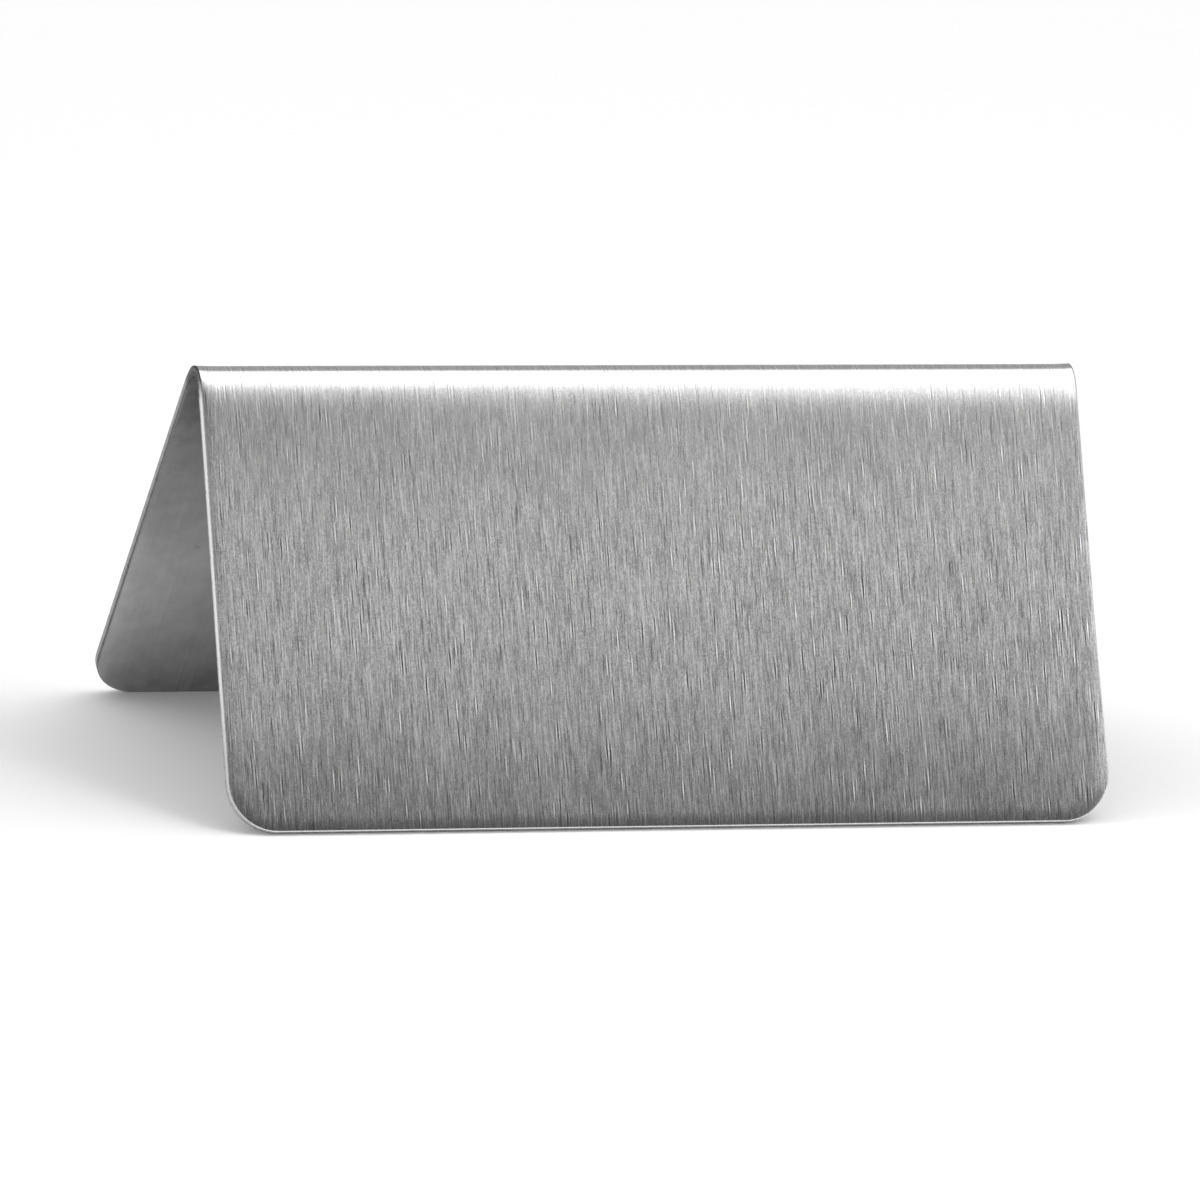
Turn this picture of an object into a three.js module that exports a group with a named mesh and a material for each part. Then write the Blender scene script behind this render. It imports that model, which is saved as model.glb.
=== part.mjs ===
// Table tent sign: one square blank of stainless sheet with rounded corners,
// bent over its middle line so that it stands on its two free edges.
//
// Millimetres, +Z up. The origin is on the table under the middle of the sign,
// +X runs along the ridge and the front leaf faces -Y.

import * as THREE from 'three';
import { mergeVertices } from 'three/addons/utils/BufferGeometryUtils.js';

// Driving dimensions

const BLANK_WIDTH = 76.2; // along the ridge
const BLANK_LENGTH = 76.2; // flat, from foot to foot over the ridge
const SHEET_THICKNESS = 0.9;
const CORNER_RADIUS = 4;
const INSIDE_BEND_RADIUS = 1.2;
const OPENING_ANGLE = THREE.MathUtils.degToRad(56.5); // between the two leaves
const NEUTRAL_SHARE = 0.42; // depth of the unstretched layer, from the inside of the bend

// How finely the round stretches are divided

const CORNER_STEPS = 12;
const BEND_STEPS = 24;

// Sizes that follow from the bend

const BEND_ANGLE = Math.PI - OPENING_ANGLE;
const NEUTRAL_RADIUS = INSIDE_BEND_RADIUS + NEUTRAL_SHARE * SHEET_THICKNESS;
const BEND_ALLOWANCE = BEND_ANGLE * NEUTRAL_RADIUS;
const LEAF_LENGTH = (BLANK_LENGTH - BEND_ALLOWANCE) / 2; // the flat part of one leaf

// The centre of the bend stands high enough for the inner edges of both feet to rest on the table.
const BEND_CENTRE_HEIGHT =
    LEAF_LENGTH * Math.sin(BEND_ANGLE / 2) - INSIDE_BEND_RADIUS * Math.cos(BEND_ANGLE / 2);

// Cross lines of the flat blank from the front foot to the rear foot. Each has its distance from the
// middle line and half the blank's width there, which narrows round the corners.
function blankStations() {
    const corner = Array.from({ length: CORNER_STEPS + 1 }, (_, step) => {
        const angle = (step / CORNER_STEPS) * (Math.PI / 2);
        return {
            along: BLANK_LENGTH / 2 - CORNER_RADIUS * (1 - Math.cos(angle)),
            halfWidth: BLANK_WIDTH / 2 - CORNER_RADIUS * (1 - Math.sin(angle)),
        };
    });
    const bend = Array.from({ length: BEND_STEPS + 1 }, (_, step) => ({
        along: (step / BEND_STEPS - 0.5) * BEND_ALLOWANCE,
        halfWidth: BLANK_WIDTH / 2,
    }));
    const frontCorner = corner.map(({ along, halfWidth }) => ({ along: -along, halfWidth }));
    return [...frontCorner, ...bend, ...corner.reverse()];
}

// Where a point of the flat blank lies once it is folded. across is its place along the ridge, along its
// distance from the middle line, and height its distance outside the unstretched layer.
function foldPoint(across, along, height) {
    const turn = THREE.MathUtils.clamp(along / NEUTRAL_RADIUS, -BEND_ANGLE / 2, BEND_ANGLE / 2);
    const straight = along - turn * NEUTRAL_RADIUS;
    const radius = NEUTRAL_RADIUS + height;
    return new THREE.Vector3(
        across,
        radius * Math.sin(turn) + straight * Math.cos(turn),
        BEND_CENTRE_HEIGHT + radius * Math.cos(turn) - straight * Math.sin(turn),
    );
}

// The blank starts as a box of unit cells, one for each pair of stations. Its cross lines are moved to
// the stations, and then every corner goes where the fold takes it.
function foldedSheetGeometry() {
    const stations = blankStations();
    const cells = stations.length - 1;
    const box = new THREE.BoxGeometry(2, cells, 1, 1, cells, 1);
    box.deleteAttribute('normal');
    box.deleteAttribute('uv');
    const sheet = mergeVertices(box);
    const position = sheet.getAttribute('position');
    for (let i = 0; i < position.count; i++) {
        const station = stations[Math.round(position.getY(i) + cells / 2)];
        const height = (position.getZ(i) + 0.5 - NEUTRAL_SHARE) * SHEET_THICKNESS;
        const folded = foldPoint(position.getX(i) * station.halfWidth, station.along, height);
        position.setXYZ(i, folded.x, folded.y, folded.z);
    }
    sheet.computeVertexNormals();
    return sheet;
}

// Neutral grey stainless steel, brushed on the outside
const brushedSteel = new THREE.MeshStandardMaterial({
    color: 0xb4b5b6,
    metalness: 1,
    roughness: 0.35,
    flatShading: true,
});

const foldedSheet = new THREE.Mesh(foldedSheetGeometry(), brushedSteel);
foldedSheet.name = 'folded_sheet';

const tableTentSign = new THREE.Group();
tableTentSign.add(foldedSheet);

export default tableTentSign;
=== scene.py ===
"""A folded table sign in brushed stainless steel: one square sheet, bent over its middle line."""

import math

import bpy
from mathutils import Matrix, Vector

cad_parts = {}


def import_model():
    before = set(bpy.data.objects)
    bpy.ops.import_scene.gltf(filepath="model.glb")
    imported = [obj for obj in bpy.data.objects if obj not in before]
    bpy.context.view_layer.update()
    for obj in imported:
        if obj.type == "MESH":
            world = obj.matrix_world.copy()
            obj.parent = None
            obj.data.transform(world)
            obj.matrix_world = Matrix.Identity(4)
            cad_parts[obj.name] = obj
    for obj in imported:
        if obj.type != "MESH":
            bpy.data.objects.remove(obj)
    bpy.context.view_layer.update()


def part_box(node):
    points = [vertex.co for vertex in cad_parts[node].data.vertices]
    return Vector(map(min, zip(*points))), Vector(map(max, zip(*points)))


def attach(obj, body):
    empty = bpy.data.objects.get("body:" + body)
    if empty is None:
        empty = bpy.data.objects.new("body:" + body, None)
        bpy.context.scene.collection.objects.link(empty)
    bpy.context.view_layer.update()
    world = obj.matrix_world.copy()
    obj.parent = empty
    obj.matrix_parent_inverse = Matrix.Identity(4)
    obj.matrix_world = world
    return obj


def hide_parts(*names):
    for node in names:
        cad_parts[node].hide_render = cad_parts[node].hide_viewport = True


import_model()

MM = 0.001

# The sheet, as it is made in the CAD model
SHEET_NODE = "folded_sheet"
THICKNESS = 0.9 * MM
CORNER_RADIUS = 4.0 * MM
INSIDE_BEND_RADIUS = 1.2 * MM
OPENING_ANGLE = math.radians(56.5)
NEUTRAL_SHARE = 0.42  # depth of the unstretched layer, from the inside of the bend

# A press brake leaves no sharp start to its bend: the curve fades out into the leaf over this length.
BEND_FADE = 1.3 * MM
BEND_REACH = 6.0 * MM

# At the ends of the ridge the stretched outside draws in, the squeezed inside bulges out and both lift.
END_CURL = 0.07 * MM
END_LIFT = 0.06 * MM
END_REACH = 1.8 * MM

# One corner of the front leaf is knocked: it spreads outwards and turns back.
CORNER_SPREAD = 0.2 * MM
CORNER_TURN = 0.16 * MM
CORNER_TURN_WIDTH = 1.6 * MM
# Distances from the ridge at which it starts, is full and starts to end
CORNER_TURN_ROWS = (22.0 * MM, 33.0 * MM, 35.0 * MM)

# The cut edge: the punch rolls the outside down, and deburring rounds the inside.
ROLL_WIDTH = 1.25 * MM
ROLL_DEPTH = 0.13 * MM
ROLL_CURVE = 2.7  # an ellipse at 2, and flatter at its start above that
DEBURR = 0.08 * MM
EDGE_MARGIN = 0.15 * MM
CUT_START = 0.55  # how far down the roll the bare cut starts

# How finely the sheet is divided
ACROSS_CELLS = 24
BEND_ROWS = 30
BEND_CROWDING = 1.4  # rows are evenly spaced at 1, and crowd towards the ridge above that
LEAF_ROWS = 8
CORNER_ROWS = 14
ROLL_STEPS = 12
CUT_STEPS = 4
DEBURR_STEPS = 4
FOLD_LINE_POINTS = 4001
MERGE_GAP = 0.001 * MM  # points closer than this are one

PLACE = "flat_place"  # where a point lies on the flat blank, in millimetres
BLANK_MAP = "flat_blank"


class Field:
    """A value in a node tree. Arithmetic on it places Math nodes."""

    def __init__(self, tree, socket):
        self.tree = tree
        self.socket = socket

    def maths(self, operation, *others):
        node = self.tree.nodes.new("ShaderNodeMath")
        node.operation = operation
        for slot, value in zip(node.inputs, (self, *others)):
            feed(self.tree, slot, value)
        return Field(self.tree, node.outputs[0])

    def __add__(self, other):
        return self.maths("ADD", other)

    def __sub__(self, other):
        return self.maths("SUBTRACT", other)

    def __rsub__(self, other):
        return self.maths("MULTIPLY_ADD", -1.0, other)

    def __mul__(self, other):
        return self.maths("MULTIPLY", other)

    def __truediv__(self, other):
        return self.maths("DIVIDE", other)

    __radd__ = __add__
    __rmul__ = __mul__

    def run(self, first, last, low=0.0, high=1.0):
        """Goes evenly from low to high while the value goes from first to last, and stays there outside."""
        inputs = {"Value": self, "From Min": first, "From Max": last, "To Min": low, "To Max": high}
        return step(self.tree, "ShaderNodeMapRange", inputs)


def feed(tree, slot, value):
    """Gives a socket its value: a link from a Field, or a plain setting."""
    if isinstance(value, Field):
        tree.links.new(value.socket, slot)
    else:
        slot.default_value = value


def place_node(tree, kind, inputs, **settings):
    """Places a node with its settings and feeds its inputs by name or number."""
    node = tree.nodes.new(kind)
    for name, value in settings.items():
        setattr(node, name, value)
    for name, value in inputs.items():
        feed(tree, node.inputs[name], value)
    return node


def step(tree, kind, inputs, output=0, **settings):
    """Places a node and gives back one of its outputs."""
    return Field(tree, place_node(tree, kind, inputs, **settings).outputs[output])


def vector(tree, x, y, z):
    return step(tree, "ShaderNodeCombineXYZ", {"X": x, "Y": y, "Z": z})


def summed(tree, first, second):
    return step(tree, "ShaderNodeVectorMath", {0: first, 1: second}, operation="ADD")


def scaled(tree, way, amount):
    return step(tree, "ShaderNodeVectorMath", {0: way, "Scale": amount}, operation="SCALE")


def crossed(tree, first, second):
    """The vector square to two others."""
    return step(tree, "ShaderNodeVectorMath", {0: first, 1: second}, operation="CROSS_PRODUCT")


def parts(value):
    """The X, Y and Z of a vector."""
    node = place_node(value.tree, "ShaderNodeSeparateXYZ", {"Vector": value})
    return [Field(value.tree, socket) for socket in node.outputs]


def group_inputs(tree, sockets):
    """Gives a node group its named inputs, and returns them as Fields by name."""
    for name, kind in sockets.items():
        tree.interface.new_socket(name, in_out="INPUT", socket_type=kind)
    entry = tree.nodes.new("NodeGroupInput")
    return {name: Field(tree, entry.outputs[name]) for name in sockets}


def group_outputs(tree, sockets, values):
    """Gives a node group its named outputs and feeds them."""
    for name, kind in sockets.items():
        tree.interface.new_socket(name, in_out="OUTPUT", socket_type=kind)
    leave = tree.nodes.new("NodeGroupOutput")
    for name, value in values.items():
        feed(tree, leave.inputs[name], value)


# The folded sheet

SHEET_SIZES = (
    "Blank Width",
    "Blank Length",
    "Thickness",
    "Corner Radius",
    "Bend Angle",
    "Bend Fade",
    "Bend Reach",
    "End Curl",
    "End Lift",
    "End Reach",
    "Corner Spread",
    "Corner Turn",
    "Neutral Share",
    "Roll Width",
    "Roll Depth",
    "Deburr",
    "Edge Margin",
)
SHEET_FINISHES = ("Outside", "Inside", "Cut Edge")


def flat_face(tree, size):
    """One face of the flat blank, short of its rolled rim. Rows lie close together over the bend and
    round the corners, where each row is as wide as the rounded outline."""
    rows = BEND_ROWS + LEAF_ROWS + CORNER_ROWS
    grid = step(
        tree,
        "GeometryNodeMeshGrid",
        {"Size X": 2.0, "Size Y": 2.0, "Vertices X": ACROSS_CELLS + 1, "Vertices Y": 2 * rows + 1},
    )
    across, along, _ = parts(step(tree, "GeometryNodeInputPosition", {}))
    from_ridge = along.maths("ABSOLUTE") * rows
    bend = from_ridge.run(0, BEND_ROWS).maths("POWER", BEND_CROWDING)
    leaf = from_ridge.run(BEND_ROWS, BEND_ROWS + LEAF_ROWS)
    corner = from_ridge.run(BEND_ROWS + LEAF_ROWS, rows, high=math.pi / 2)
    rim = size["Edge Margin"] + size["Roll Width"]
    radius = size["Corner Radius"] - rim
    leaf_length = size["Blank Length"] / 2 - size["Corner Radius"] - size["Bend Reach"]
    distance = size["Bend Reach"] * bend + leaf_length * leaf + radius * corner.maths("SINE")
    half_width = size["Blank Width"] / 2 - rim - radius * (1 - corner.maths("COSINE"))
    spot = vector(tree, across * half_width, distance * along.maths("SIGN"), 0.0)
    return step(tree, "GeometryNodeSetPosition", {"Geometry": grid, "Position": spot})


def rounded_end(share):
    """A share from 0 to 1 that slows down towards its end, so that points crowd together there."""
    return 1 - (1 - share) * (1 - share)


def rim_profile(tree, size):
    """The section of the rim, from the outer face over the roll and down the cut to the inner face."""
    stretches = (1, ROLL_STEPS, CUT_STEPS, DEBURR_STEPS, 1)
    steps = sum(stretches)
    line = step(tree, "GeometryNodeCurvePrimitiveLine", {"Start": (0, 0, 0), "End": (steps, 0, 0)})
    line = step(tree, "GeometryNodeResampleCurve", {"Curve": line, "Count": steps + 1})
    travel = parts(step(tree, "GeometryNodeInputPosition", {}))[0]
    ends = [sum(stretches[: count + 1]) for count in range(len(stretches))]
    margin = travel.run(0, ends[0])
    roll = rounded_end(travel.run(ends[0], ends[1]))
    cut = travel.run(ends[1], ends[2])
    deburr = travel.run(ends[2], ends[3], high=math.pi / 2)
    back = travel.run(ends[3], ends[4])
    reach = size["Edge Margin"] + size["Roll Width"]
    outward = size["Edge Margin"] * margin + size["Roll Width"] * roll
    outward = outward - size["Deburr"] * (1 - deburr.maths("COSINE"))
    outward = outward - (reach - size["Deburr"]) * back
    cut_depth = size["Thickness"] - size["Roll Depth"] - size["Deburr"]
    rolled = 1 - (1 - roll.maths("POWER", ROLL_CURVE)).maths("SQRT")
    height = size["Thickness"] / 2 - size["Roll Depth"] * rolled
    height = height - cut_depth * cut - size["Deburr"] * deburr.maths("SINE")
    spot = vector(tree, outward * -1.0, height * -1.0, 0.0)
    return step(tree, "GeometryNodeSetPosition", {"Geometry": line, "Position": spot})


def flat_blank(tree, size):
    """The whole blank before it is folded: both faces, and the rim swept round their outline."""
    face = flat_face(tree, size)
    neighbours = step(tree, "GeometryNodeInputMeshEdgeNeighbors", {})
    border = step(tree, "FunctionNodeCompare", {2: neighbours, 3: 1}, data_type="INT", operation="EQUAL")
    outline = step(tree, "GeometryNodeMeshToCurve", {"Mesh": face, "Selection": border})
    outline = step(tree, "GeometryNodeSetCurveNormal", {"Curve": outline}, mode="Z_UP")
    section = rim_profile(tree, size)
    rim = step(tree, "GeometryNodeCurveToMesh", {"Curve": outline, "Profile Curve": section})
    rim = step(tree, "GeometryNodeFlipFaces", {"Mesh": rim})
    half_up = vector(tree, 0.0, 0.0, size["Thickness"] / 2)
    half_down = vector(tree, 0.0, 0.0, size["Thickness"] / -2.0)
    outer = step(tree, "GeometryNodeSetPosition", {"Geometry": face, "Offset": half_up})
    inner = step(tree, "GeometryNodeFlipFaces", {"Mesh": face})
    inner = step(tree, "GeometryNodeSetPosition", {"Geometry": inner, "Offset": half_down})
    joined = tree.nodes.new("GeometryNodeJoinGeometry")
    for piece in (outer, inner, rim):
        tree.links.new(piece.socket, joined.inputs[0])
    blank = Field(tree, joined.outputs[0])
    return step(tree, "GeometryNodeMergeByDistance", {"Geometry": blank, "Distance": MERGE_GAP})


def keep_flat_place(tree, blank, size):
    """Keeps where each point lies on the flat blank, for finishes that follow the sheet round its bend."""
    spot = step(tree, "GeometryNodeInputPosition", {})
    blank = step(
        tree,
        "GeometryNodeStoreNamedAttribute",
        {"Geometry": blank, "Name": PLACE, "Value": scaled(tree, spot, 1 / MM)},
        data_type="FLOAT_VECTOR",
        domain="POINT",
    )
    across, along, _ = parts(spot)
    chart = vector(tree, across / size["Blank Width"] + 0.5, along / size["Blank Length"] + 0.5, 0.0)
    return step(
        tree,
        "GeometryNodeStoreNamedAttribute",
        {"Geometry": blank, "Name": BLANK_MAP, "Value": chart},
        data_type="FLOAT2",
        domain="CORNER",
    )


def fold_line(tree, size):
    """The unstretched layer of the folded sheet, seen along the ridge: a line whose slope swings over
    from one leaf to the other."""
    half = size["Blank Length"] / 2
    line = step(
        tree,
        "GeometryNodeCurvePrimitiveLine",
        {"Start": vector(tree, 0.0, half * -1.0, 0.0), "End": vector(tree, 0.0, half, 0.0)},
    )
    line = step(tree, "GeometryNodeResampleCurve", {"Curve": line, "Count": FOLD_LINE_POINTS})
    pace = size["Blank Length"] / (FOLD_LINE_POINTS - 1)
    along = parts(step(tree, "GeometryNodeInputPosition", {}))[1] + pace / 2
    turn = (along / size["Bend Fade"]).maths("TANH") * size["Bend Angle"] / 2
    pace_vector = vector(tree, 0.0, turn.maths("COSINE") * pace, turn.maths("SINE") * pace * -1.0)
    run = step(
        tree,
        "GeometryNodeAccumulateField",
        {"Value": pace_vector},
        output="Trailing",
        data_type="FLOAT_VECTOR",
    )
    return step(tree, "GeometryNodeSetPosition", {"Geometry": line, "Position": run})


def bentness(size, along):
    """How sharply the sheet is bent, from one at the ridge to nought out on the leaf."""
    swing = (along / size["Bend Fade"]).maths("TANH")
    return 1 - swing * swing


def bend_end(size, across, along):
    """One at the ends of the ridge, and nought along its middle and out on the leaves."""
    to_end = size["Blank Width"] / 2 - across.maths("ABSOLUTE")
    near_end = 1 - (to_end / size["End Reach"]).run(0, 1)
    return near_end * near_end * bentness(size, along)


def knocked_corner(size, across, along):
    """One at the right end of the front foot, just above its rounded corner, and nought elsewhere."""
    edge = size["Blank Width"] / 2
    near_edge = across.run(edge - CORNER_TURN_WIDTH, edge)
    start, full, end = CORNER_TURN_ROWS
    low = along.run(-start, -full) * along.run(size["Blank Length"] / -2.0, -end)
    return near_edge * near_edge * low


def unrolled(size, along, height):
    """How far the rolled outside edge rises again over the bend, which stretches it flat."""
    rim = size["Thickness"] / 2 - size["Roll Depth"]
    below = height.run(0, rim) * size["Roll Depth"]
    above = size["Thickness"] / 2 - height
    return below.maths("MINIMUM", above) * bentness(size, along)


def fold(tree, blank, size):
    """Lays the flat blank along the fold line, then stands it on the table over the origin."""
    across, along, height = parts(step(tree, "GeometryNodeInputPosition", {}))
    sample = place_node(
        tree,
        "GeometryNodeSampleCurve",
        {"Curves": fold_line(tree, size), "Length": along + size["Blank Length"] / 2},
        mode="LENGTH",
        use_all_curves=True,
    )
    spot = Field(tree, sample.outputs["Position"])
    slope = Field(tree, sample.outputs["Tangent"])
    outward = crossed(tree, (1, 0, 0), slope)
    ending = bend_end(size, across, along)
    knocked = knocked_corner(size, across, along)
    lift = height + size["Thickness"] * (0.5 - size["Neutral Share"])
    lift = lift + unrolled(size, along, height) + size["End Lift"] * ending
    lift = lift - size["Corner Turn"] * knocked
    spot = summed(tree, spot, scaled(tree, outward, lift))
    across = across - across.maths("SIGN") * size["End Curl"] * ending * (height / size["Thickness"])
    across = across + size["Corner Spread"] * knocked
    spot = summed(tree, spot, vector(tree, across, 0.0, 0.0))
    folded = step(tree, "GeometryNodeSetPosition", {"Geometry": blank, "Position": spot})
    box = place_node(tree, "GeometryNodeBoundBox", {"Geometry": folded})
    low = parts(Field(tree, box.outputs["Min"]))
    high = parts(Field(tree, box.outputs["Max"]))
    move = vector(tree, 0.0, (low[1] + high[1]) / -2.0, low[2] * -1.0)
    return step(tree, "GeometryNodeSetPosition", {"Geometry": folded, "Offset": move})


def finish_sheet(tree, sheet, given):
    """Smooth shading, and a finish for each side: the brushed skin reaches over the roll to the cut."""
    sheet = step(tree, "GeometryNodeSetShadeSmooth", {"Geometry": sheet})
    sheet = step(tree, "GeometryNodeRealizeInstances", {"Geometry": sheet})
    kept = step(tree, "GeometryNodeInputNamedAttribute", {"Name": PLACE}, data_type="FLOAT_VECTOR")
    height = parts(kept)[2] * MM
    half = given["Thickness"] / 2
    below_roll = height.maths("LESS_THAN", half - given["Roll Depth"] * CUT_START)
    inside = height.maths("LESS_THAN", MERGE_GAP - half)
    for finish, faces in (("Outside", True), ("Cut Edge", below_roll), ("Inside", inside)):
        inputs = {"Geometry": sheet, "Selection": faces, "Material": given[finish]}
        sheet = step(tree, "GeometryNodeSetMaterial", inputs)
    return sheet


def folded_sheet_tree():
    tree = bpy.data.node_groups.new("Folded sheet", "GeometryNodeTree")
    sockets = {name: "NodeSocketFloat" for name in SHEET_SIZES}
    sockets.update({name: "NodeSocketMaterial" for name in SHEET_FINISHES})
    inputs = group_inputs(tree, sockets)
    blank = keep_flat_place(tree, flat_blank(tree, inputs), inputs)
    sheet = finish_sheet(tree, fold(tree, blank, inputs), inputs)
    group_outputs(tree, {"Sheet": "NodeSocketGeometry"}, {"Sheet": sheet})
    return tree


def blank_length(box_low, box_high):
    """The flat length of the sheet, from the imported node's depth."""
    half_opening = OPENING_ANGLE / 2
    outside_radius = INSIDE_BEND_RADIUS + THICKNESS
    half_depth = (box_high.y - box_low.y) / 2
    leaf = (half_depth - outside_radius * math.cos(half_opening)) / math.sin(half_opening)
    neutral_radius = INSIDE_BEND_RADIUS + NEUTRAL_SHARE * THICKNESS
    return 2 * leaf + (math.pi - OPENING_ANGLE) * neutral_radius


def folded_sheet(finishes):
    """Makes the sheet with Geometry Nodes and keeps it as a plain mesh."""
    low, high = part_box(SHEET_NODE)
    values = {
        "Blank Width": high.x - low.x,
        "Blank Length": blank_length(low, high),
        "Thickness": THICKNESS,
        "Corner Radius": CORNER_RADIUS,
        "Bend Angle": math.pi - OPENING_ANGLE,
        "Bend Fade": BEND_FADE,
        "Bend Reach": BEND_REACH,
        "End Curl": END_CURL,
        "End Lift": END_LIFT,
        "End Reach": END_REACH,
        "Corner Spread": CORNER_SPREAD,
        "Corner Turn": CORNER_TURN,
        "Neutral Share": NEUTRAL_SHARE,
        "Roll Width": ROLL_WIDTH,
        "Roll Depth": ROLL_DEPTH,
        "Deburr": DEBURR,
        "Edge Margin": EDGE_MARGIN,
    }
    values.update(finishes)
    piece = bpy.data.objects.new("brushed_sheet", bpy.data.meshes.new("brushed_sheet"))
    bpy.context.scene.collection.objects.link(piece)
    modifier = piece.modifiers.new("Folded sheet", "NODES")
    modifier.node_group = folded_sheet_tree()
    for item in modifier.node_group.interface.items_tree:
        if item.in_out == "INPUT":
            modifier[item.identifier] = values[item.name]
    made = piece.evaluated_get(bpy.context.evaluated_depsgraph_get())
    mesh = bpy.data.meshes.new_from_object(made)
    mesh.materials.pop(index=0)  # the nodes leave an empty first slot
    piece.modifiers.clear()
    piece.data = mesh
    mesh.name = piece.name
    return piece


# Finishes

ROLL_ONSET = 0.02  # share of the roll's depth at which it starts to show
ROLL_START = (THICKNESS / 2 - ROLL_ONSET * ROLL_DEPTH) / MM
ROLL_END = (THICKNESS / 2 - ROLL_DEPTH) / MM
LANE_SCATTER = 19.0  # how many strokes one lane may be shifted against the next
CRISP_MEAN = 64.0 / 140.0  # the mean of a rounded share cubed, which crisp strokes leave out
CLOUD_DETAIL = 3.0


def rounded(share):
    """Nought at both ends of a share from 0 to 1, and one in the middle."""
    return share * (1.0 - share) * 4.0


def stroke_group():
    """Straight tapered brush strokes, side by side along the grain. Most are faint and a few are strong.
    A crisp stroke has flanks of the opposite tone."""
    tree = bpy.data.node_groups.new("Brush strokes", "ShaderNodeTree")
    kinds = {"Place": "NodeSocketVector"}
    kinds.update({name: "NodeSocketFloat" for name in ("Width", "Length", "Lean", "Seed", "Crisp")})
    given = group_inputs(tree, kinds)
    across, along, _ = parts(given["Place"])
    place = (across + along * given["Lean"]) / given["Width"]
    lane = place.maths("FLOOR")
    shift = step(tree, "ShaderNodeTexWhiteNoise", {"W": lane + given["Seed"]}, noise_dimensions="1D")
    travel = along / given["Length"] + shift * LANE_SCATTER
    stroke = vector(tree, lane, travel.maths("FLOOR"), given["Seed"])
    chance = step(tree, "ShaderNodeTexWhiteNoise", {"Vector": stroke}, noise_dimensions="3D")
    tone = chance * 2.0 - 1.0
    square = tone * tone
    soft = rounded(place.maths("FRACT"))
    crisp = soft * soft * soft - CRISP_MEAN
    shape = (soft + (crisp - soft) * given["Crisp"]) * rounded(travel.maths("FRACT"))
    group_outputs(tree, {"Strokes": "NodeSocketFloat"}, {"Strokes": tone * square * square * shape})
    return tree


def cloud_group():
    """Soft patches about nought, for handling marks and uneven polish."""
    tree = bpy.data.node_groups.new("Clouds", "ShaderNodeTree")
    kinds = {"Place": "NodeSocketVector", "Size": "NodeSocketFloat", "Seed": "NodeSocketFloat"}
    given = group_inputs(tree, kinds)
    across, along, _ = parts(given["Place"])
    spot = vector(tree, across / given["Size"], along / given["Size"], given["Seed"])
    clouds = step(tree, "ShaderNodeTexNoise", {"Vector": spot, "Scale": 1.0, "Detail": CLOUD_DETAIL})
    group_outputs(tree, {"Clouds": "NodeSocketFloat"}, {"Clouds": clouds - 0.5})
    return tree


class Finish:
    """A metal under construction: its node tree, its shader, and the effects that all finishes share."""

    groups = {}

    def __init__(self, name):
        self.material = bpy.data.materials.new(name)
        self.material.use_nodes = True
        self.tree = self.material.node_tree
        self.shader = self.tree.nodes["Principled BSDF"]
        self.shader.inputs["Metallic"].default_value = 1.0
        self.place = step(self.tree, "ShaderNodeAttribute", {}, output="Vector", attribute_name=PLACE)
        _, self.along, self.height = parts(self.place)
        self.from_ridge = self.along.maths("ABSOLUTE")

    def effect(self, make, inputs):
        """Places a shared effect, which is built at its first use."""
        if make not in Finish.groups:
            Finish.groups[make] = make()
        node = self.tree.nodes.new("ShaderNodeGroup")
        node.node_tree = Finish.groups[make]
        feed(self.tree, node.inputs["Place"], self.place)
        for name, value in inputs.items():
            feed(self.tree, node.inputs[name.capitalize()], value)
        return Field(self.tree, node.outputs[0])

    def strokes(self, shape):
        return self.effect(stroke_group, shape)

    def clouds(self, shape):
        return self.effect(cloud_group, shape)

    def paint(self, grey, roughness, normal):
        """Feeds the shader with a neutral grey, a roughness and a normal."""
        colour = step(self.tree, "ShaderNodeCombineColor", {"Red": grey, "Green": grey, "Blue": grey})
        feed(self.tree, self.shader.inputs["Base Color"], colour)
        feed(self.tree, self.shader.inputs["Roughness"], roughness)
        feed(self.tree, self.shader.inputs["Normal"], normal)
        return self.material

    def relief(self, height, depth):
        """The normal of a relief of the given depth."""
        return step(self.tree, "ShaderNodeBump", {"Strength": 1.0, "Distance": depth, "Height": height})

    def tipped(self, normal, slope):
        """A normal tipped along the blank, towards one foot or the other, by the given slope."""
        along = crossed(self.tree, normal, self.ridge_way())
        moved = summed(self.tree, normal, scaled(self.tree, along, slope))
        return step(self.tree, "ShaderNodeVectorMath", {0: moved}, operation="NORMALIZE")

    def ridge_way(self):
        """The direction in the surface that runs along the ridge, across the grain."""
        return step(self.tree, "ShaderNodeTangent", {}, direction_type="UV_MAP", uv_map=BLANK_MAP)

    def stretch_highlights(self, amount):
        """Stretches highlights across the grain, as brushed lines do."""
        self.shader.inputs["Anisotropic"].default_value = amount
        feed(self.tree, self.shader.inputs["Tangent"], self.ridge_way())


def strong(strokes, limits):
    """Masks of the strong strokes: the pale ones and the dark ones."""
    faint, full = limits
    return strokes.run(faint, full), strokes.run(-faint, -full)


def mixed(base, weights, effects):
    """A base value and each named effect times its weight."""
    total = base
    for name, weight in weights.items():
        total = effects[name] * weight + total
    return total


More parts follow.
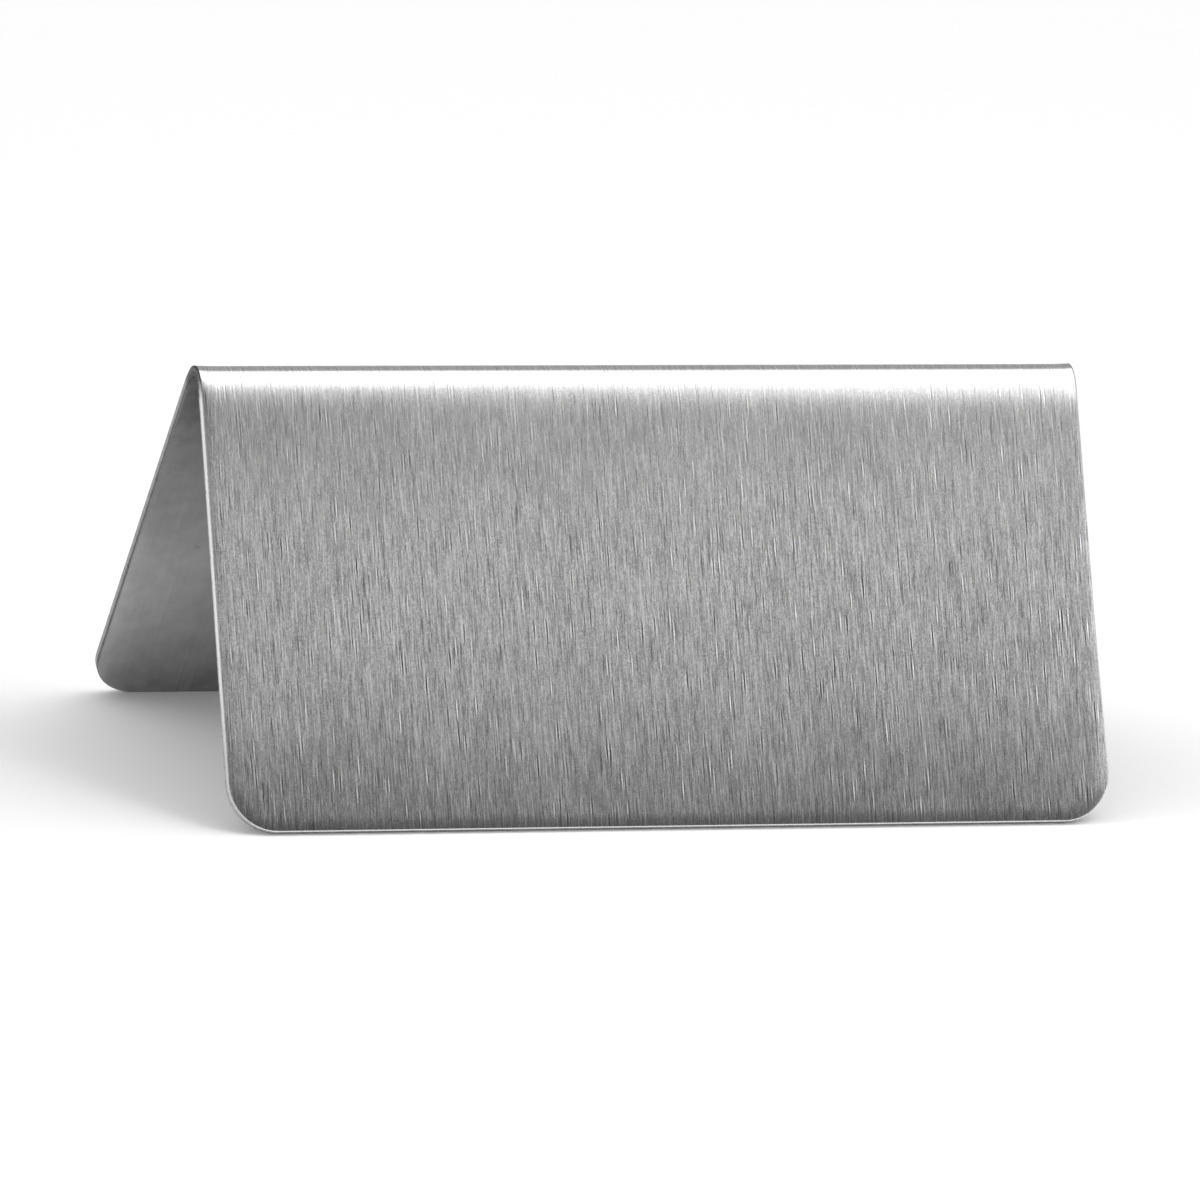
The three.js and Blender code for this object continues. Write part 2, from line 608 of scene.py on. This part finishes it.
# The brushed outside. Widths, lengths and sizes are in millimetres, and a stroke's lean is how far it moves
# across the grain for each unit along it.
FINE_STROKES = {"width": 0.05, "length": 1.04, "seed": 1.0, "lean": -0.008}
LONG_STROKES = {"width": 0.06, "length": 2.47, "seed": 7.0, "lean": 0.012}
SHORT_STROKES = {"width": 0.055, "length": 0.455, "seed": 21.0, "lean": 0.02}
SCRATCHES = {"width": 0.06, "length": 1.95, "seed": 64.0, "lean": -0.012}
GOUGES = {"width": 0.07, "length": 3.12, "seed": 83.0, "lean": 0.006}
CRISP_STROKES = {"width": 0.275, "length": 2.34, "seed": 31.0, "lean": 0.004, "crisp": 1.0}
GRIT = {"size": 0.11, "seed": 6.6}
UNEVEN_POLISH = {"size": 9.0, "seed": 3.3}
STRONG_SCRATCH = (0.35, 0.7)
STRONG_GOUGE = (0.55, 0.85)
SHORT_SHARE = 0.5
GOUGE_SHARE = 1.2
DARK_GOUGE_SHARE = 1.3

# How strong the grain is: between which distances from the ridge it changes, and from what to what
GRAIN_OVER_BEND = (1.2, 2.6, 0.35, 0.52)
GRAIN_DOWN_LEAF = (3.0, 16.0, 0.0, 0.62)
GRAIN_LOST_AT_FOOT = (26.0, 33.0, 0.0, 0.27)
GRAIN_LOST_ON_ROLL = 0.6

BRUSHED_GREY = 0.66
BRUSHED_PALEST = 0.97
BRUSHED_TONE = {
    "lines": 0.5,
    "marks": 0.45,
    "ticks": 7.0,
    "pale": 0.7,
    "dark": -1.2,
    "grit": 1.6,
    "polish": 0.05,
}
BRUSHED_ROUGHNESS = 0.255
BRUSHED_ROUGHENING = {"lines": 0.08, "polish": 0.08, "rolled": -0.05}
BRUSHED_SLOPE = {"marks": 0.01, "ticks": 0.25}
BRUSHED_DEPTH = 0.0008 * MM
BRUSHED_STRETCH = 0.896


def brushed_finish():
    """The outside: short fine brush lines from foot to foot, with stray scratches and handling marks."""
    finish = Finish("brushed_outside")
    fine = finish.strokes(FINE_STROKES) + finish.strokes(LONG_STROKES)
    short = finish.strokes(SHORT_STROKES)
    scratches = finish.strokes(SCRATCHES)
    gouges = finish.strokes(GOUGES)
    crisp = finish.strokes(CRISP_STROKES)
    pale_scratches, dark_scratches = strong(scratches, STRONG_SCRATCH)
    pale_gouges, dark_gouges = strong(gouges, STRONG_GOUGE)
    rolled = finish.height.run(ROLL_START, ROLL_END)
    grain = finish.from_ridge.run(*GRAIN_OVER_BEND) + finish.from_ridge.run(*GRAIN_DOWN_LEAF)
    grain = grain - finish.from_ridge.run(*GRAIN_LOST_AT_FOOT)
    grain = grain * (1.0 - rolled * GRAIN_LOST_ON_ROLL)
    effects = {
        "fine": fine * grain,
        "lines": (fine + short * SHORT_SHARE) * grain,
        "marks": (scratches + gouges * GOUGE_SHARE) * grain,
        "ticks": crisp * crisp.maths("ABSOLUTE") * grain,
        "pale": (pale_scratches + pale_gouges) * grain,
        "dark": (dark_scratches + dark_gouges * DARK_GOUGE_SHARE) * grain,
        "grit": finish.clouds(GRIT) * grain,
        "polish": finish.clouds(UNEVEN_POLISH),
        "rolled": rolled,
    }
    tone = mixed(0.0, BRUSHED_TONE, effects)
    grey = (tone.maths("EXPONENT") * BRUSHED_GREY).maths("MINIMUM", BRUSHED_PALEST)
    roughness = mixed(BRUSHED_ROUGHNESS, BRUSHED_ROUGHENING, effects)
    relief = finish.relief(effects["fine"] - effects["dark"], BRUSHED_DEPTH)
    finish.stretch_highlights(BRUSHED_STRETCH)
    return finish.paint(grey, roughness, finish.tipped(relief, mixed(0.0, BRUSHED_SLOPE, effects)))


# The inside, as it comes from the rolling mill
ROLL_LINES = {"width": 0.3, "length": 16.0, "seed": 5.0, "lean": 0.006}
FINE_ROLL_LINES = {"width": 0.12, "length": 6.0, "seed": 15.0}
SMUDGES = {"size": 7.0, "seed": 9.2}
MOTTLE = {"size": 1.3, "seed": 17.7}
SPECKS = {"size": 0.35, "seed": 30.5}
SPECK_EDGE = (0.2, 0.26)
STAINS = {"size": 1.8, "seed": 41.5}
STAIN_EDGE = (0.22, 0.3)

# How much painted shade darkens it, under the ridge and at the foot: between which distances from the ridge
# that changes, and from what to what
SHADE_UNDER_RIDGE = (2.0, 22.0, 0.4, 0.0)
SHADE_AT_FOOT = (30.0, 37.0, 0.0, 0.24)

MILL_GREY = 0.64
MILL_DARKEST = 0.1
MILL_TONE = {
    "roll_lines": 0.03,
    "fine_lines": 0.04,
    "smudges": 0.24,
    "mottle": 0.2,
    # painted shade under the ridge and at the foot
    "darkened": -1.0,
    "specks": -0.16,
    "stains": -0.16,
}
MILL_ROUGHNESS = 0.18
MILL_ROUGHENING = {"roll_lines": 0.015, "smudges": 0.14, "specks": 0.1, "stains": 0.08}
MILL_DEPTH = 0.0006 * MM
MILL_STRETCH = 0.35


def mill_finish():
    """The inside: smooth cold-rolled skin with faint roll lines and smudges, and painted shade under the
    ridge and at the foot.
    """
    finish = Finish("mill_inside")
    effects = {
        "roll_lines": finish.strokes(ROLL_LINES),
        "fine_lines": finish.strokes(FINE_ROLL_LINES),
        "smudges": finish.clouds(SMUDGES),
        "mottle": finish.clouds(MOTTLE),
        "specks": finish.clouds(SPECKS).run(*SPECK_EDGE),
        "stains": finish.clouds(STAINS).run(*STAIN_EDGE),
        # painted shade under the ridge and at the foot
        "darkened": finish.from_ridge.run(*SHADE_UNDER_RIDGE) + finish.from_ridge.run(*SHADE_AT_FOOT),
    }
    grey = mixed(MILL_GREY, MILL_TONE, effects).maths("MAXIMUM", MILL_DARKEST)
    roughness = mixed(MILL_ROUGHNESS, MILL_ROUGHENING, effects)
    relief = finish.relief(effects["roll_lines"] + effects["fine_lines"], MILL_DEPTH)
    finish.stretch_highlights(MILL_STRETCH)
    return finish.paint(grey, roughness, relief)


# The cut edge. Heights are in millimetres above the middle of the sheet. A range of four numbers says where
# an effect changes, and from what to what.
CUT_GRAIN = {"size": 0.2, "seed": 12.4}
CUT_WAVER = {"size": 1.6, "seed": 17.7}
WAVER_HEIGHT = 0.12
BREAK_START = (0.08, -0.1)
# Painted shade: a dark line along the burr, where the cut meets the inside
BURR_SHADE_TOP = (-0.2, -0.3)
BURR_SHADE_FOOT = (-0.40, -0.36)
PIT_EDGE = (0.06, 0.2)
DARKER_REAR_START = (-2.8, -0.6)  # along the blank: the rear leaf's edge is darker and rougher than the front leaf's
DARKER_REAR_SKIN = (0.05, 0.35, 0.4, 0.66)
# over the bend the cut is darker
CUT_DARKER_NEAR_RIDGE = (1.4, 2.8, 1.0, 0.0)
CUT_GREY = 0.78
CUT_DARKEST = 0.08
CUT_TONE = {
    "grain": 0.2,
    "rear_grain": 0.5,
    "broken": -0.08,
    "pits": -0.25,
    "burr_shade_line": -0.4,
    "darker_rear_skin": -1.0,
    "rear_pits": -0.1,
    "darker_near_ridge": -0.26,
}
CUT_ROUGHNESS = 0.26
CUT_ROUGHENING = {"broken": 0.15, "grain": 0.2, "darkened": 0.15}
CUT_DEPTH = 0.04 * MM


def cut_finish():
    """The cut edge: a burnished band under the outside, then a grainy break towards the inside, with
    painted shade along the burr.
    """
    finish = Finish("cut_edge")
    grain = finish.clouds(CUT_GRAIN)
    depth = finish.height + finish.clouds(CUT_WAVER) * WAVER_HEIGHT
    broken = depth.run(*BREAK_START)
    pits = grain.run(*PIT_EDGE) * broken
    darkened = finish.along.run(*DARKER_REAR_START)
    effects = {
        "grain": grain,
        "broken": broken,
        "pits": pits,
        # painted shade along the burr
        "burr_shade_line": depth.run(*BURR_SHADE_TOP) * finish.height.run(*BURR_SHADE_FOOT),
        "darkened": darkened,
        "rear_grain": darkened * grain,
        "darker_rear_skin": darkened * finish.height.run(*DARKER_REAR_SKIN),
        "rear_pits": darkened * pits,
        "darker_near_ridge": finish.from_ridge.run(*CUT_DARKER_NEAR_RIDGE),
    }
    grey = mixed(CUT_GREY, CUT_TONE, effects).maths("MAXIMUM", CUT_DARKEST)
    roughness = mixed(CUT_ROUGHNESS, CUT_ROUGHENING, effects)
    return finish.paint(grey, roughness, finish.relief(grain * broken, CUT_DEPTH))


# The picture

CAMERA_AZIMUTH = math.radians(21.594)  # to the left of the front leaf
CAMERA_ELEVATION = math.radians(16.478)
CAMERA_ROLL = math.radians(5.998)
CAMERA_DISTANCE = 1.2556
CAMERA_LENS = 460.53
CAMERA_SENSOR = 36.0
CAMERA_CLIPS = (0.01, 20.0)
CAMERA_TARGET = Vector((0.0, 0.0, 17.426 * MM))
FRAME_OFFSET = (-1.428 * MM, -3.705 * MM)  # of the middle of the picture from the target, right and up


def turned_to(place, right, up, back):
    """The placing of a camera or a lamp whose own axes lie along the given ones."""
    turn = Matrix((right, up, back)).transposed()
    return Matrix.LocRotScale(place, turn.to_quaternion(), None)


def camera():
    back = Vector(
        (
            -math.sin(CAMERA_AZIMUTH) * math.cos(CAMERA_ELEVATION),
            -math.cos(CAMERA_AZIMUTH) * math.cos(CAMERA_ELEVATION),
            math.sin(CAMERA_ELEVATION),
        )
    )
    level = Vector((math.cos(CAMERA_AZIMUTH), -math.sin(CAMERA_AZIMUTH), 0.0))
    turned = Matrix.Rotation(CAMERA_ROLL, 3, back)
    right = turned @ level
    up = turned @ back.cross(level)
    place = CAMERA_TARGET + back * CAMERA_DISTANCE
    aim = CAMERA_TARGET + right * FRAME_OFFSET[0] + up * FRAME_OFFSET[1]
    back = (place - aim).normalized()
    right = up.cross(back).normalized()
    up = back.cross(right)
    eye = bpy.data.objects.new("camera", bpy.data.cameras.new("camera"))
    eye.data.lens = CAMERA_LENS
    eye.data.sensor_width = CAMERA_SENSOR
    eye.data.clip_start, eye.data.clip_end = CAMERA_CLIPS
    eye.matrix_world = turned_to(place, right, up, back)
    bpy.context.scene.collection.objects.link(eye)
    bpy.context.scene.camera = eye


FLOOR_REACH = 6.0
FLOOR_GREY = 0.95
FLOOR_ROUGHNESS = 0.9
FLOOR_LIFT = 0.07  # how much paler than its own colour the table looks, up to white


def floor():
    mesh = bpy.data.meshes.new("floor")
    sides = (-FLOOR_REACH, FLOOR_REACH)
    mesh.from_pydata([(x, y, 0.0) for y in sides for x in sides], [], [(0, 1, 3, 2)])
    table = bpy.data.objects.new("floor", mesh)
    material = bpy.data.materials.new("white_table")
    material.use_nodes = True
    tree = material.node_tree
    shader = tree.nodes["Principled BSDF"]
    shader.inputs["Base Color"].default_value = (FLOOR_GREY, FLOOR_GREY, FLOOR_GREY, 1.0)
    shader.inputs["Roughness"].default_value = FLOOR_ROUGHNESS
    shader.inputs["Specular IOR Level"].default_value = 0.0
    shader.inputs["Emission Color"].default_value = (1.0, 1.0, 1.0, 1.0)
    rays = place_node(tree, "ShaderNodeLightPath", {})
    seen = Field(tree, rays.outputs["Is Camera Ray"])
    mirrored = Field(tree, rays.outputs["Is Glossy Ray"])
    through_glass = Field(tree, rays.outputs["Is Transmission Ray"])
    feed(tree, shader.inputs["Emission Strength"], (seen + mirrored + through_glass) * FLOOR_LIFT)
    mesh.materials.append(material)
    bpy.context.scene.collection.objects.link(table)


# The light overhead. Reaches are level distances for each unit of height.
OVERHEAD_LIGHT = 1.55
OVERHEAD_CORE = 0.45  # how much brighter it is away from its front edge
OVERHEAD_CORE_EDGE = (0.05, 0.35)
OVERHEAD_FRONT = 0.715
OVERHEAD_SLANT = (0.1, 0.8, -0.5967, 0.4743)  # where its front edge comes forward, going right, and how far
OVERHEAD_FADE = 0.334  # over which its front edge dims
OVERHEAD_DIMMING = 2.34
OVERHEAD_BACK = 0.46
OVERHEAD_SIDE = 1.6
OVERHEAD_SOFTNESS = 0.1
LOWEST_HEIGHT = 0.02

# The room. Each patch comes in over its X and Y, goes out again over its height, and adds its light.
ROOM_LIGHT = 0.48
DARKEST_ROOM = 0.03
SIDE_PATCH = {"x": (0.5, 0.8), "y": (-0.6, -0.3), "z": (0.5, 0.75), "light": 0.27}
RIGHT_PATCH = {"x": (0.5, 0.62), "y": (-0.25, -0.45), "z": (0.62, 0.75), "light": 0.23}
FRONT_GLOOM = {"x": (-0.55, -0.25), "y": (-0.2, -0.55), "z": (0.7, 0.8), "light": -0.387}
REAR_GLOOM = {"x": (0.6, 0.85), "y": (-0.12, 0.05), "z": (0.12, 0.28), "light": -0.65}
GLOOM_LEFT_START = (-0.05, -0.4)  # to the left of this the front gloom ends lower
GLOOM_LEFT_TOP = (0.3, 0.5)
FAR_FLOOR_LIGHT = 0.94
HORIZON = (-0.004, 0.0)


def patch(x, y, z, shape):
    """The light that one patch of the room adds."""
    return x.run(*shape["x"]) * y.run(*shape["y"]) * z.run(*shape["z"], shape["light"], 0.0)


def overhead_light(x, y, z):
    """A wide soft light, whose front edge slants and dims slowly."""
    height = z.maths("MAXIMUM", LOWEST_HEIGHT)
    forward = y * -1.0 / height
    rightward = x / height
    edge = forward - rightward.run(*OVERHEAD_SLANT)
    dimmed = edge.run(OVERHEAD_FRONT - OVERHEAD_FADE, OVERHEAD_FRONT)
    light = (1.0 - dimmed.maths("POWER", OVERHEAD_DIMMING)) * (OVERHEAD_LIGHT - ROOM_LIGHT)
    light = light + forward.run(*OVERHEAD_CORE_EDGE, OVERHEAD_CORE, 0.0)
    soft = OVERHEAD_SOFTNESS
    back = forward.run(-OVERHEAD_BACK - soft, -OVERHEAD_BACK + soft)
    side = rightward.maths("ABSOLUTE").run(OVERHEAD_SIDE - soft, OVERHEAD_SIDE + soft, 1.0, 0.0)
    return light * back * side


def world():
    """A soft wide light overhead in a grey room, which is darker low in front of the sign."""
    made = bpy.data.worlds.new("studio")
    made.use_nodes = True
    tree = made.node_tree
    x, y, z = parts(step(tree, "ShaderNodeTexCoord", {}, output="Generated"))
    sides = patch(x.maths("ABSOLUTE"), y, z, SIDE_PATCH)
    right = patch(x, y, z, RIGHT_PATCH)
    lit_left = x.run(*GLOOM_LEFT_START) * z.run(*GLOOM_LEFT_TOP)
    gloom = patch(x, y, z, FRONT_GLOOM) * (1.0 - lit_left) + patch(x, y, z, REAR_GLOOM)
    level = overhead_light(x, y, z) + sides + right + gloom + ROOM_LIGHT
    level = level.maths("MAXIMUM", DARKEST_ROOM)
    level = level + (FAR_FLOOR_LIGHT - level) * z.run(*HORIZON, 1.0, 0.0)
    feed(tree, tree.nodes["Background"].inputs["Color"], level)
    bpy.context.scene.world = made


def soft_lamp(name, place, level, rise, size, light):
    """A rectangle of even light. It shines against the cross product of its level and rising edges."""
    lamp = bpy.data.lights.new(name, "AREA")
    lamp.shape = "RECTANGLE"
    lamp.size, lamp.size_y = size
    lamp.energy = light * math.pi * size[0] * size[1]
    holder = bpy.data.objects.new(name, lamp)
    holder.matrix_world = turned_to(place, level, rise, level.cross(rise))
    bpy.context.scene.collection.objects.link(holder)


PANEL_DISTANCE = 0.1213
PANEL_SIZE = (0.36, 0.0254)
PANEL_LIGHT = 0.30
MIRROR_WAY = Vector((0.357, -0.73, 0.583))  # where the front leaf mirrors the camera's sight to
LEAF_FOOT = Vector((40.7 * MM, -16.4 * MM, 5.7 * MM))


def front_panel():
    """A pale card up in front of the sign. Its lower edge is mirrored at the foot of the leaf."""
    away = MIRROR_WAY.normalized()
    ridge = Vector((1.0, 0.0, 0.0))
    level = (ridge - away * ridge.dot(away)).normalized()
    rise = away.cross(level)
    place = LEAF_FOOT + away * PANEL_DISTANCE + rise * PANEL_SIZE[1] / 2
    soft_lamp("front_panel", place, level, rise, PANEL_SIZE, PANEL_LIGHT)


SOFTBOX_EDGE = (Vector((0.063, -0.135, 0.3425)), Vector((0.109, -0.185, 0.301)))
SOFTBOX_REACH = (-0.126, 0.162)  # along that edge from its middle
SOFTBOX_DEPTH = 0.0915
SOFTBOX_LIGHT = 2.2


def softbox():
    """A lamp up on the right. Its slanting lower edge is mirrored along the bend."""
    first, last = SOFTBOX_EDGE
    middle = (first + last) / 2
    level = (last - first).normalized()
    away = (middle - level * middle.dot(level)).normalized()
    rise = away.cross(level)
    place = middle + level * sum(SOFTBOX_REACH) / 2 + rise * SOFTBOX_DEPTH / 2
    size = (SOFTBOX_REACH[1] - SOFTBOX_REACH[0], SOFTBOX_DEPTH)
    soft_lamp("softbox", place, level, rise, size, SOFTBOX_LIGHT)


bpy.context.scene.view_settings.view_transform = "Standard"
camera()
floor()
world()
front_panel()
softbox()

sheet = folded_sheet(
    {
        "Outside": brushed_finish(),
        "Inside": mill_finish(),
        "Cut Edge": cut_finish(),
    }
)
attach(sheet, "root")
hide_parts(SHEET_NODE)
